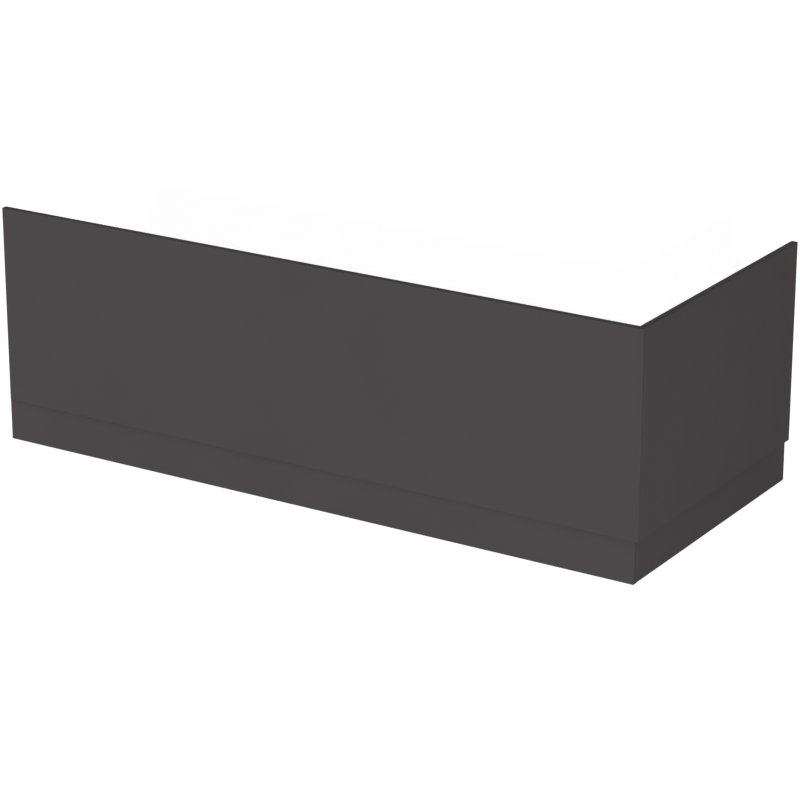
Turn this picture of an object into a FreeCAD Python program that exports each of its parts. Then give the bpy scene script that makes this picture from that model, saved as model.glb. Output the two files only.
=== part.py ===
# L-shaped bath panel: front and end boards, each with a set-back plinth board behind its lower edge
import FreeCAD, Part
import math
import os
import Sketcher

doc = FreeCAD.newDocument("bath_panel")

# Driving sizes in millimetres, screw numbers as plain counts
sizes = doc.addObject("Spreadsheet::Sheet", "sizes")
driving = [
    ("front_length", "1600"),
    ("end_depth", "700"),
    ("panel_height", "450"),
    ("panel_thickness", "15"),
    ("plinth_reveal", "100"),
    ("plinth_overlap", "60"),
    ("plinth_thickness", "15"),
    ("scribe_allowance", "12"),
    ("edge_radius", "1.5"),
    ("screw_inset", "100"),
    ("screw_height", "30"),
    ("front_screws", "5"),
    ("end_screws", "3"),
    ("slot_width", "5"),
    ("slot_travel", "30"),
    ("pilot_bore", "3"),
    ("pilot_depth", "10"),
]
for row, (alias, value) in enumerate(driving, start=1):
    sizes.set("A%d" % row, alias)
    sizes.set("B%d" % row, value)
    sizes.setAlias("B%d" % row, alias)
doc.recompute()

# Lengths that follow from the driving sizes
FRONT_LENGTH = "sizes.front_length"
END_LENGTH = "(sizes.end_depth - sizes.panel_thickness)"
FRONT_PLINTH_LENGTH = "(sizes.front_length - sizes.panel_thickness + sizes.scribe_allowance)"
END_PLINTH_LENGTH = "(%s - sizes.plinth_thickness + sizes.scribe_allowance)" % END_LENGTH
PLINTH_HEIGHT = "(sizes.plinth_reveal + sizes.plinth_overlap)"

# Places in the shared frame: origin on the floor under the middle of the whole set
WALL_X = "((sizes.scribe_allowance - sizes.front_length) / 2)"
CORNER_X = "((sizes.scribe_allowance + sizes.front_length) / 2)"
FACE_Y = "(-(sizes.end_depth + sizes.scribe_allowance) / 2)"


def origin_plane(body, role):
    for feature in body.Origin.OriginFeatures:
        if feature.Role == role:
            return feature
    raise RuntimeError("no plane " + role)


def sketch_on_face_plane(body, name):
    sketch = body.newObject("Sketcher::SketchObject", name)
    sketch.AttachmentSupport = [(origin_plane(body, "XZ_Plane"), "")]
    sketch.MapMode = "FlatFace"
    return sketch


def bind(sketch, constraint, name, expression):
    number = sketch.addConstraint(constraint)
    sketch.renameConstraint(number, name)
    sketch.setExpression("Constraints." + name, expression)


def rectangle(sketch, length, height):
    corners = [(0, 0), (100, 0), (100, 100), (0, 100)]
    for start, end in zip(corners, corners[1:] + corners[:1]):
        first = FreeCAD.Vector(start[0], start[1], 0)
        last = FreeCAD.Vector(end[0], end[1], 0)
        sketch.addGeometry(Part.LineSegment(first, last), False)
    for line in range(4):
        sketch.addConstraint(Sketcher.Constraint("Coincident", line, 2, (line + 1) % 4, 1))
    for line in (0, 2):
        sketch.addConstraint(Sketcher.Constraint("Horizontal", line))
    for line in (1, 3):
        sketch.addConstraint(Sketcher.Constraint("Vertical", line))
    sketch.addConstraint(Sketcher.Constraint("Coincident", 0, 1, -1, 1))
    bind(sketch, Sketcher.Constraint("DistanceX", 0, 1, 0, 2, 100), "length", length)
    bind(sketch, Sketcher.Constraint("DistanceY", 1, 1, 1, 2, 100), "height", height)


def upright_slot(sketch, across, middle):
    low = FreeCAD.Vector(100, 100, 0)
    high = FreeCAD.Vector(100, 120, 0)
    up = FreeCAD.Vector(0, 0, 1)
    sketch.addGeometry(Part.ArcOfCircle(Part.Circle(low, up, 2), math.pi, 2 * math.pi), False)
    sketch.addGeometry(Part.LineSegment(FreeCAD.Vector(102, 100, 0), FreeCAD.Vector(102, 120, 0)), False)
    sketch.addGeometry(Part.ArcOfCircle(Part.Circle(high, up, 2), 0, math.pi), False)
    sketch.addGeometry(Part.LineSegment(FreeCAD.Vector(98, 120, 0), FreeCAD.Vector(98, 100, 0)), False)
    for first, second in ((0, 1), (1, 2), (2, 3), (3, 0)):
        sketch.addConstraint(Sketcher.Constraint("Tangent", first, 2, second, 1))
    sketch.addConstraint(Sketcher.Constraint("Vertical", 1))
    sketch.addConstraint(Sketcher.Constraint("Equal", 0, 2))
    bind(sketch, Sketcher.Constraint("Radius", 0, 2), "half_width", "sizes.slot_width / 2")
    low_end = middle + " - sizes.slot_travel / 2"
    bind(sketch, Sketcher.Constraint("DistanceX", -1, 1, 0, 3, 100), "across", across)
    bind(sketch, Sketcher.Constraint("DistanceY", -1, 1, 0, 3, 100), "low_end", low_end)
    bind(sketch, Sketcher.Constraint("DistanceY", 0, 3, 2, 3, 20), "travel", "sizes.slot_travel")


def pilot_circle(sketch, across, middle):
    centre = FreeCAD.Vector(100, 100, 0)
    sketch.addGeometry(Part.Circle(centre, FreeCAD.Vector(0, 0, 1), 2), False)
    bind(sketch, Sketcher.Constraint("Diameter", 0, 4), "bore", "sizes.pilot_bore")
    bind(sketch, Sketcher.Constraint("DistanceX", -1, 1, 0, 3, 100), "across", across)
    bind(sketch, Sketcher.Constraint("DistanceY", -1, 1, 0, 3, 100), "middle", middle)


# A board lies with its show face at y = 0, its length along x and its height along z
def board(name, length, height, thickness):
    body = doc.addObject("PartDesign::Body", name)
    body.Label = name
    outline = sketch_on_face_plane(body, name + "_outline")
    rectangle(outline, length, height)
    pad = body.newObject("PartDesign::Pad", name + "_sheet")
    pad.Profile = outline
    pad.setExpression("Length", thickness)
    pad.Reversed = True
    doc.recompute()
    face_edges = []
    for number, edge in enumerate(pad.Shape.Edges, start=1):
        if all(abs(vertex.Y) < 1e-6 for vertex in edge.Vertexes):
            face_edges.append("Edge%d" % number)
    rounding = body.newObject("PartDesign::Fillet", name + "_rounding")
    rounding.Base = (pad, face_edges)
    rounding.setExpression("Radius", "sizes.edge_radius")
    doc.recompute()
    return body


def repeat_along_length(body, name, feature, run, count):
    pattern = body.newObject("PartDesign::LinearPattern", name)
    pattern.Originals = [feature]
    pattern.Direction = (feature.Profile[0], ["H_Axis"])
    pattern.setExpression("Length", run)
    pattern.setExpression("Occurrences", count)
    body.Tip = pattern
    doc.recompute()
    uncut = feature.BaseFeature.Shape.Volume
    if not pattern.Shape.Volume <= feature.Shape.Volume < uncut:
        raise RuntimeError("nothing cut: " + name)


# Panels have blind pilot holes in the back, low down, for the plinth screws
def panel(name, length, count):
    body = board(name, length, "sizes.panel_height", "sizes.panel_thickness")
    mark = sketch_on_face_plane(body, name + "_pilot_mark")
    mark.setExpression("AttachmentOffset.Base.z", "-sizes.panel_thickness")
    pilot_circle(mark, "sizes.screw_inset", "sizes.screw_height")
    pilot = body.newObject("PartDesign::Pocket", name + "_pilot")
    pilot.Profile = mark
    pilot.setExpression("Length", "sizes.pilot_depth")
    pilot.Reversed = True
    doc.recompute()
    run = length + " - 2 * sizes.screw_inset"
    repeat_along_length(body, name + "_pilots", pilot, run, count)
    return body


# Plinths have upright through slots, so that each screw can clamp at any height of its travel
def plinth(name, length, across, run, count):
    body = board(name, length, PLINTH_HEIGHT, "sizes.plinth_thickness")
    mark = sketch_on_face_plane(body, name + "_slot_mark")
    upright_slot(mark, across, "sizes.plinth_reveal + sizes.screw_height")
    slot = body.newObject("PartDesign::Pocket", name + "_slot")
    slot.Profile = mark
    slot.Type = "ThroughAll"
    doc.recompute()
    repeat_along_length(body, name + "_slots", slot, run, count)
    return body


def place(body, x, y, z, turn):
    turned = FreeCAD.Rotation(FreeCAD.Vector(0, 0, 1), turn)
    body.Placement = FreeCAD.Placement(FreeCAD.Vector(0, 0, 0), turned)
    body.setExpression("Placement.Base.x", x)
    body.setExpression("Placement.Base.y", y)
    body.setExpression("Placement.Base.z", z)


# Front boards: the plinth runs behind its panel, from the end panel to just past the panel's wall end
front_panel = panel("front_panel", FRONT_LENGTH, "sizes.front_screws")
place(front_panel, WALL_X, FACE_Y, "sizes.plinth_reveal", 0)

front_plinth = plinth(
    "front_plinth",
    FRONT_PLINTH_LENGTH,
    "sizes.screw_inset + sizes.scribe_allowance",
    FRONT_LENGTH + " - 2 * sizes.screw_inset",
    "sizes.front_screws",
)
place(front_plinth, WALL_X + " - sizes.scribe_allowance", FACE_Y + " + sizes.panel_thickness", "0", 0)

# End boards: the panel butts against the front panel's back, its plinth against the front plinth's back
end_panel = panel("end_panel", END_LENGTH, "sizes.end_screws")
place(end_panel, CORNER_X, FACE_Y + " + sizes.panel_thickness", "sizes.plinth_reveal", 90)

end_plinth = plinth(
    "end_plinth",
    END_PLINTH_LENGTH,
    "sizes.screw_inset - sizes.plinth_thickness",
    END_LENGTH + " - 2 * sizes.screw_inset",
    "sizes.end_screws",
)
place(
    end_plinth,
    CORNER_X + " - sizes.panel_thickness",
    FACE_Y + " + sizes.panel_thickness + sizes.plinth_thickness",
    "0",
    90,
)
doc.recompute()

# Every object must be sound before anything is written
for item in doc.Objects:
    if "Invalid" in item.State or "Error" in item.State:
        raise RuntimeError("not sound: " + item.Name)
boards = [front_panel, front_plinth, end_panel, end_plinth]
for body in boards:
    if body.Shape.isNull() or not body.Shape.isValid():
        raise RuntimeError("bad shape: " + body.Label)

os.makedirs("parts", exist_ok=True)
for body in boards:
    body.Shape.exportStep("parts/%s.step" % body.Label)
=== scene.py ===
# L-shaped bath panel: finishes of its four boards, the plinth screws, and the studio that shows them
import bpy
import math
from mathutils import Matrix, Vector


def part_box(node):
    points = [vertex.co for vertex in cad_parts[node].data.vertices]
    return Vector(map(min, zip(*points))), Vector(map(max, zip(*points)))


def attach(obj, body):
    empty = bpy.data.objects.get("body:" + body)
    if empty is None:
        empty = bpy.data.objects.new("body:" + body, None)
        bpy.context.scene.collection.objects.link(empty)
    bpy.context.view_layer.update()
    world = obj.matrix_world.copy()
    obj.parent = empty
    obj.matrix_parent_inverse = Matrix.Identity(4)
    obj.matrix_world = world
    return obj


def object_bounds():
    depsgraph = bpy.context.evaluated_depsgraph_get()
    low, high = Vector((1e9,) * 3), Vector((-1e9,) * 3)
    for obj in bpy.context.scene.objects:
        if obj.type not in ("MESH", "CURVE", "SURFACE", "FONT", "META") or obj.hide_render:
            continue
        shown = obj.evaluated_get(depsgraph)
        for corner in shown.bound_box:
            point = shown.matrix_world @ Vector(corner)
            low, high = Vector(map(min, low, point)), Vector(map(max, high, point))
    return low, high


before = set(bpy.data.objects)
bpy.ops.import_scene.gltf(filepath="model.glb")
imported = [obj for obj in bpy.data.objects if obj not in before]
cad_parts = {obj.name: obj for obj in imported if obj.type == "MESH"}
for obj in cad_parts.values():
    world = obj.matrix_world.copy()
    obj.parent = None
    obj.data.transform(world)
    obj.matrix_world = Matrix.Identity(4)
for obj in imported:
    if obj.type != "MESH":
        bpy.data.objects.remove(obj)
cad_low, cad_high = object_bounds()

# Colours of the boards and screws, linear
FOIL_GREY = (0.0742, 0.0648, 0.0666, 1.0)
FOIL_GREY_DEEP = (0.0716, 0.0625, 0.0643, 1.0)
BACK_PAPER = (0.70, 0.68, 0.64, 1.0)
BACK_PAPER_MOTTLE = (0.66, 0.64, 0.60, 1.0)
RAW_FIBRE = (0.27, 0.18, 0.10, 1.0)
RAW_FIBRE_DARK = (0.19, 0.12, 0.065, 1.0)
ZINC = (0.46, 0.47, 0.48, 1.0)
ZINC_DULL = (0.32, 0.33, 0.34, 1.0)

# Patterns in the finishes: scale and detail of the noise
FOIL_CLOUDS = (5.0, 3.0)
PAPER_MOTTLING = (260.0, 4.0)
FIBRE_SPECKS = (900.0, 5.0)
HAND_SMEARS = (14.0, 4.0)
FINE_GRAIN = (700.0, 2.0)
COARSE_GRAIN = (90.0, 2.0)
ZINC_CLOUDS = (400.0, 4.0)

# Noise below the first level takes the darker tone, above the second the lighter one
DARK_BELOW = 0.35
LIGHT_ABOVE = 0.65

# Roughness from least to most on foil and zinc, and what paper and bare fibre add to the foil's
FOIL_ROUGHNESS = (0.74, 0.84)
ROUGHER_UNCOATED = 0.1
ZINC_ROUGHNESS = (0.28, 0.45)

# Gloss of the boards, and their grain, with its depth in metres
BOARD_GLOSS = 0.05
GRAIN_STRENGTH = 0.12
GRAIN_DEPTH = 0.0002

# Boards: node, direction that its back faces
BOARD_BACKS = {
    "front_panel": Vector((0, 1, 0)),
    "front_plinth": Vector((0, 1, 0)),
    "end_panel": Vector((-1, 0, 0)),
    "end_plinth": Vector((-1, 0, 0)),
}
# Foil is wrapped round the outer edges; a sideways face further in than this, in metres, is a cut
WRAPPED_EDGE = 0.004
# A face that looks more than this along the back's direction is the back
BACK_FACING = 0.9
# A face that looks less than this along it, either way, is sideways
SIDE_FACING = 0.5

# Plinth screws as the slots and pilot holes take them, lengths in metres
SCREW_INSET = 0.100
SCREW_HEIGHT_ON_PANEL = 0.030
FRONT_SCREWS = 5
END_SCREWS = 3
HEAD_RADIUS = 0.0042
HEAD_HEIGHT = 0.0030
HEAD_ROUNDING = 0.0016
HEAD_ROUNDING_STEPS = 5
SHANK_RADIUS = 0.0015
SHANK_REACH = 0.0055
TIP_LENGTH = 0.004
TIP_RADIUS = 0.0002
WASHER_RADIUS = 0.0090
WASHER_HOLE = 0.0022
WASHER_THICKNESS = 0.0012
WASHER_EASING = 0.0002
WASHER_EASING_STEPS = 2
CROSS_LENGTH = 0.0046
CROSS_WIDTH = 0.0010
CROSS_DEPTH = 0.0016

# Sides of a round piece
CIRCLE_SIDES = 48
# A face that looks more than this up or down is level
LEVEL_FACING = 0.9
# Faces that meet at less than this angle are shaded as one smooth surface
SMOOTH_BELOW = math.radians(35)

# Camera fitted to the photograph: its place, its direction, its lens and how far it sees
CAMERA_PLACE = Vector((3.447, -5.436, 2.440))
CAMERA_AZIMUTH = math.radians(32.22)
CAMERA_ELEVATION = math.radians(19.64)
CAMERA_LENS_MM = 138.8
SENSOR_MM = 36.0
CAMERA_REACH = 200.0

# Studio lamps: azimuth, elevation and spread in degrees, strength; all stand equally far off, in metres
KEY_LAMP = (28.6, 13.0, 3.0, 2.45)
TOP_LAMP = (12.0, 43.0, 40.0, 0.36)
BACK_LAMP = (225.0, 5.0, 10.0, 2.20)
LAMP_DISTANCE = 6.0

# Tall soft box level with the front face, off the near corner, metres and watts
SIDE_BOX_WIDTH = 0.2
SIDE_BOX_HEIGHT = 0.5
SIDE_BOX_MIDDLE = 0.25
SIDE_BOX_DISTANCE = 0.6
SIDE_BOX_POWER = 0.48

# Even fill from all round, the white behind everything, and the floor
FILL_STRENGTH = 0.12
WHITE = (1.0, 1.0, 1.0, 1.0)
WHITE_STRENGTH = 1.0
FLOOR_SIZE = 80.0
FLOOR_COLOUR = (0.78, 0.78, 0.78, 1.0)
FLOOR_ROUGHNESS = 0.9
FLOOR_WHITENING = 0.78


# Direction from the object, with azimuth 0 at the front and 90 degrees at the end panel's side
def direction(azimuth, elevation):
    level = math.cos(elevation)
    return Vector((math.sin(azimuth) * level, -math.cos(azimuth) * level, math.sin(elevation)))


def new_material(name):
    material = bpy.data.materials.new(name)
    material.use_nodes = True
    tree = material.node_tree
    return material, tree, tree.nodes["Principled BSDF"]


def add(tree, kind, **settings):
    made = tree.nodes.new(kind)
    for key, value in settings.items():
        setattr(made, key, value)
    return made


def noise(tree, coordinates, pattern):
    scale, detail = pattern
    made = add(tree, "ShaderNodeTexNoise")
    made.inputs["Scale"].default_value = scale
    made.inputs["Detail"].default_value = detail
    tree.links.new(coordinates, made.inputs["Vector"])
    return made.outputs["Fac"]


def maths(tree, operation, first, second):
    made = add(tree, "ShaderNodeMath", operation=operation)
    for socket, value in zip(made.inputs, (first, second)):
        if isinstance(value, (int, float)):
            socket.default_value = value
        else:
            tree.links.new(value, socket)
    return made.outputs["Value"]


def between(tree, value, low, high):
    above = maths(tree, "GREATER_THAN", value, low)
    below = maths(tree, "LESS_THAN", value, high)
    return maths(tree, "MULTIPLY", above, below)


def stretch(tree, value, least, most):
    made = add(tree, "ShaderNodeMapRange")
    made.inputs["To Min"].default_value = least
    made.inputs["To Max"].default_value = most
    tree.links.new(value, made.inputs["Value"])
    return made.outputs["Result"]


def two_tones(tree, factor, dark, light):
    ramp = add(tree, "ShaderNodeValToRGB")
    ramp.color_ramp.elements[0].position = DARK_BELOW
    ramp.color_ramp.elements[0].color = dark
    ramp.color_ramp.elements[1].position = LIGHT_ABOVE
    ramp.color_ramp.elements[1].color = light
    tree.links.new(factor, ramp.inputs["Fac"])
    return ramp.outputs["Color"]


def blend_colours(tree, mask, below, above):
    made = add(tree, "ShaderNodeMix", data_type="RGBA")
    tree.links.new(mask, made.inputs["Factor"])
    tree.links.new(below, made.inputs["A"])
    tree.links.new(above, made.inputs["B"])
    return made.outputs["Result"]


# Masks of a board's back and of its cuts, the sideways faces of slots and holes away from the outer edges
def back_and_cuts(tree, position, node, back):
    low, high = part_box(node)
    facing = add(tree, "ShaderNodeVectorMath", operation="DOT_PRODUCT")
    tree.links.new(position.outputs["Normal"], facing.inputs[0])
    facing.inputs[1].default_value = back
    on_back = maths(tree, "GREATER_THAN", facing.outputs["Value"], BACK_FACING)
    on_cut = between(tree, facing.outputs["Value"], -SIDE_FACING, SIDE_FACING)

    split = add(tree, "ShaderNodeSeparateXYZ")
    tree.links.new(position.outputs["Object"], split.inputs["Vector"])
    along = "Y" if back.x else "X"
    for letter in (along, "Z"):
        axis = "XYZ".index(letter)
        first = low[axis] + WRAPPED_EDGE
        last = high[axis] - WRAPPED_EDGE
        inside = between(tree, split.outputs[letter], first, last)
        on_cut = maths(tree, "MULTIPLY", on_cut, inside)
    return on_back, on_cut


# Board: satin foil on the face and edges, pale paper on the back, bare fibre where a slot or hole is cut
def board_finish(node, back):
    material, tree, shader = new_material(node + "_finish")
    position = add(tree, "ShaderNodeTexCoord")
    spot = position.outputs["Object"]
    on_back, on_cut = back_and_cuts(tree, position, node, back)

    foil = two_tones(tree, noise(tree, spot, FOIL_CLOUDS), FOIL_GREY_DEEP, FOIL_GREY)
    paper = two_tones(tree, noise(tree, spot, PAPER_MOTTLING), BACK_PAPER_MOTTLE, BACK_PAPER)
    fibre = two_tones(tree, noise(tree, spot, FIBRE_SPECKS), RAW_FIBRE_DARK, RAW_FIBRE)
    faced = blend_colours(tree, on_back, foil, paper)
    tree.links.new(blend_colours(tree, on_cut, faced, fibre), shader.inputs["Base Color"])

    smears = stretch(tree, noise(tree, spot, HAND_SMEARS), *FOIL_ROUGHNESS)
    uncoated = maths(tree, "MAXIMUM", on_back, on_cut)
    dull = maths(tree, "MULTIPLY", uncoated, ROUGHER_UNCOATED)
    tree.links.new(maths(tree, "ADD", smears, dull), shader.inputs["Roughness"])
    shader.inputs["Specular IOR Level"].default_value = BOARD_GLOSS

    grain = maths(tree, "ADD", noise(tree, spot, FINE_GRAIN), noise(tree, spot, COARSE_GRAIN))
    bump = add(tree, "ShaderNodeBump")
    bump.inputs["Strength"].default_value = GRAIN_STRENGTH
    bump.inputs["Distance"].default_value = GRAIN_DEPTH
    tree.links.new(grain, bump.inputs["Height"])
    tree.links.new(bump.outputs["Normal"], shader.inputs["Normal"])
    return material


def zinc_finish():
    material, tree, shader = new_material("zinc_plate")
    spot = add(tree, "ShaderNodeTexCoord").outputs["Object"]
    clouds = noise(tree, spot, ZINC_CLOUDS)
    tree.links.new(two_tones(tree, clouds, ZINC_DULL, ZINC), shader.inputs["Base Color"])
    tree.links.new(stretch(tree, clouds, *ZINC_ROUGHNESS), shader.inputs["Roughness"])
    shader.inputs["Metallic"].default_value = 1.0
    return material


def dress_boards():
    for node, back in BOARD_BACKS.items():
        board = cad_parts[node]
        board.data.materials.clear()
        board.data.materials.append(board_finish(node, back))


def deselect():
    bpy.ops.object.select_all(action="DESELECT")


# The primitive just added, named, with its place, turn and scale moved into its mesh
def start_piece(name):
    piece = bpy.context.object
    piece.name = name
    bpy.ops.object.transform_apply(location=True, rotation=True, scale=True)
    return piece


def start_editing():
    bpy.ops.object.mode_set(mode="EDIT")
    bpy.ops.mesh.select_mode(type="FACE")
    bpy.ops.mesh.select_all(action="DESELECT")


def pick(piece, wanted):
    bpy.ops.object.mode_set(mode="OBJECT")
    for face in piece.data.polygons:
        face.select = wanted(face)
    bpy.ops.object.mode_set(mode="EDIT")


# Washer: a ring with eased edges, lying on z = 0
def model_washer():
    deselect()
    bpy.ops.mesh.primitive_cylinder_add(
        vertices=CIRCLE_SIDES,
        radius=WASHER_RADIUS,
        depth=WASHER_THICKNESS,
        location=(0, 0, WASHER_THICKNESS / 2),
    )
    washer = start_piece("washer")
    start_editing()
    pick(washer, lambda face: abs(face.normal.z) > LEVEL_FACING)
    bpy.ops.mesh.inset(thickness=WASHER_RADIUS - WASHER_HOLE, depth=0)
    bpy.ops.mesh.bridge_edge_loops()
    bpy.ops.object.mode_set(mode="OBJECT")
    easing = washer.modifiers.new("eased_edges", "BEVEL")
    easing.width = WASHER_EASING
    easing.segments = WASHER_EASING_STEPS
    bpy.ops.object.modifier_apply(modifier=easing.name)
    return washer


# Cross recess: two arms centred on the top of the head, so that half of each one's height cuts
def cut_cross(screw):
    top = WASHER_THICKNESS + HEAD_HEIGHT
    for turn in (0, math.pi / 2):
        deselect()
        bpy.ops.mesh.primitive_cube_add(size=1, location=(0, 0, top), rotation=(0, 0, turn))
        bpy.context.object.scale = (CROSS_LENGTH, CROSS_WIDTH, 2 * CROSS_DEPTH)
        arm = start_piece("cross_arm")
        deselect()
        screw.select_set(True)
        bpy.context.view_layer.objects.active = screw
        recess = screw.modifiers.new("cross_recess", "BOOLEAN")
        recess.operation = "DIFFERENCE"
        recess.solver = "EXACT"
        recess.object = arm
        bpy.ops.object.modifier_apply(modifier=recess.name)
        bpy.data.objects.remove(arm)


# Screw: domed head on top of the washer, a plain shank below it through the grip, then a tapered tip
def model_screw(grip):
    deselect()
    bpy.ops.mesh.primitive_cylinder_add(
        vertices=CIRCLE_SIDES,
        radius=HEAD_RADIUS,
        depth=HEAD_HEIGHT,
        location=(0, 0, WASHER_THICKNESS + HEAD_HEIGHT / 2),
    )
    screw = start_piece("screw")
    start_editing()
    pick(screw, lambda face: face.normal.z > LEVEL_FACING)
    bpy.ops.mesh.bevel(offset=HEAD_ROUNDING, segments=HEAD_ROUNDING_STEPS, affect="EDGES")
    pick(screw, lambda face: face.normal.z < -LEVEL_FACING)
    bpy.ops.mesh.inset(thickness=HEAD_RADIUS - SHANK_RADIUS, depth=0)
    bpy.ops.mesh.inset(thickness=0, depth=WASHER_THICKNESS + grip + SHANK_REACH)
    bpy.ops.mesh.inset(thickness=SHANK_RADIUS - TIP_RADIUS, depth=TIP_LENGTH)
    bpy.ops.object.mode_set(mode="OBJECT")
    cut_cross(screw)
    return screw


def join(pieces, name):
    deselect()
    for piece in pieces:
        piece.select_set(True)
    bpy.context.view_layer.objects.active = pieces[0]
    bpy.ops.object.join()
    pieces[0].name = name
    return pieces[0]


# Screws of one plinth: copies of the model, each turned to the plinth's back and moved to its slot
def place_screws(model, name, places, back, finish):
    turn = Vector((0, 0, 1)).rotation_difference(back).to_matrix().to_4x4()
    copies = []
    for spot in places:
        copy = bpy.data.objects.new(name, model.data.copy())
        bpy.context.collection.objects.link(copy)
        copy.data.transform(Matrix.Translation(spot) @ turn)
        copies.append(copy)
    row = join(copies, name)
    bpy.ops.object.shade_smooth_by_angle(angle=SMOOTH_BELOW)
    row.data.materials.clear()
    row.data.materials.append(finish)
    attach(row, "root")


def evenly(first, last, count):
    return [first + (last - first) * step / (count - 1) for step in range(count)]


def add_screws():
    washer = model_washer()
    front_plinth_low, front_plinth_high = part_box("front_plinth")
    screw = model_screw(front_plinth_high.y - front_plinth_low.y)
    model = join([screw, washer], "screw_model")
    finish = zinc_finish()

    low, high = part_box("front_panel")
    height = low.z + SCREW_HEIGHT_ON_PANEL
    behind = front_plinth_high.y
    along = evenly(low.x + SCREW_INSET, high.x - SCREW_INSET, FRONT_SCREWS)
    places = [Vector((x, behind, height)) for x in along]
    place_screws(model, "front_plinth_screws", places, BOARD_BACKS["front_plinth"], finish)

    low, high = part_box("end_panel")
    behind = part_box("end_plinth")[0].x
    along = evenly(low.y + SCREW_INSET, high.y - SCREW_INSET, END_SCREWS)
    places = [Vector((behind, y, height)) for y in along]
    place_screws(model, "end_plinth_screws", places, BOARD_BACKS["end_plinth"], finish)
    bpy.data.objects.remove(model)


# Rays that should meet a white background: straight from the camera, mirrored, or let through
def seen_directly(tree):
    ray = add(tree, "ShaderNodeLightPath")
    mirrored = maths(tree, "MAXIMUM", ray.outputs["Is Glossy Ray"], ray.outputs["Is Transmission Ray"])
    return maths(tree, "MAXIMUM", ray.outputs["Is Camera Ray"], mirrored)


# Floor: pale, and seen by the camera as white, with the boards' shadow left on it
def add_floor():
    deselect()
    bpy.ops.mesh.primitive_plane_add(size=FLOOR_SIZE, location=(0, 0, 0))
    floor = start_piece("floor")
    material, tree, shader = new_material("white_floor")
    shader.inputs["Base Color"].default_value = FLOOR_COLOUR
    shader.inputs["Roughness"].default_value = FLOOR_ROUGHNESS
    shader.inputs["Specular IOR Level"].default_value = 0.0
    shader.inputs["Emission Color"].default_value = WHITE
    whitening = maths(tree, "MULTIPLY", seen_directly(tree), FLOOR_WHITENING)
    tree.links.new(whitening, shader.inputs["Emission Strength"])
    floor.data.materials.append(material)


def add_lamp(name, kind, strength, place, towards):
    light = bpy.data.lights.new(name, kind)
    light.energy = strength
    lamp = bpy.data.objects.new(name, light)
    bpy.context.collection.objects.link(lamp)
    lamp.location = place
    lamp.rotation_euler = towards.to_track_quat("-Z", "Y").to_euler()
    lamp.visible_camera = False
    return lamp


def add_sun(name, setting):
    azimuth, elevation, spread, strength = setting
    source = direction(math.radians(azimuth), math.radians(elevation))
    sun = add_lamp(name, "SUN", strength, source * LAMP_DISTANCE, -source)
    sun.data.angle = math.radians(spread)
    return sun


def add_side_box():
    beside_corner = Vector((cad_high[0] + SIDE_BOX_DISTANCE, cad_low[1], SIDE_BOX_MIDDLE))
    side_box = add_lamp("side_box", "AREA", SIDE_BOX_POWER, beside_corner, Vector((-1, 0, 0)))
    side_box.data.shape = "RECTANGLE"
    side_box.data.size = SIDE_BOX_WIDTH
    side_box.data.size_y = SIDE_BOX_HEIGHT


# World: white where it is seen, and a weak even fill where it lights the object
def add_fill():
    world = bpy.data.worlds.new("studio")
    bpy.context.scene.world = world
    world.use_nodes = True
    tree = world.node_tree
    fill = tree.nodes["Background"]
    fill.inputs["Color"].default_value = WHITE
    level = stretch(tree, seen_directly(tree), FILL_STRENGTH, WHITE_STRENGTH)
    tree.links.new(level, fill.inputs["Strength"])


def light_studio():
    add_sun("key_lamp", KEY_LAMP)
    add_sun("top_lamp", TOP_LAMP)
    back_lamp = add_sun("back_lamp", BACK_LAMP)
    back_lamp.visible_glossy = False
    add_side_box()
    add_fill()


def set_camera():
    lens = bpy.data.cameras.new("camera")
    lens.lens = CAMERA_LENS_MM
    lens.sensor_width = SENSOR_MM
    lens.clip_end = CAMERA_REACH
    camera = bpy.data.objects.new("camera", lens)
    bpy.context.collection.objects.link(camera)
    camera.location = CAMERA_PLACE
    ahead = -direction(CAMERA_AZIMUTH, CAMERA_ELEVATION)
    camera.rotation_euler = ahead.to_track_quat("-Z", "Y").to_euler()
    bpy.context.scene.camera = camera


dress_boards()
add_screws()
add_floor()
light_studio()
set_camera()
bpy.context.scene.view_settings.view_transform = "Standard"
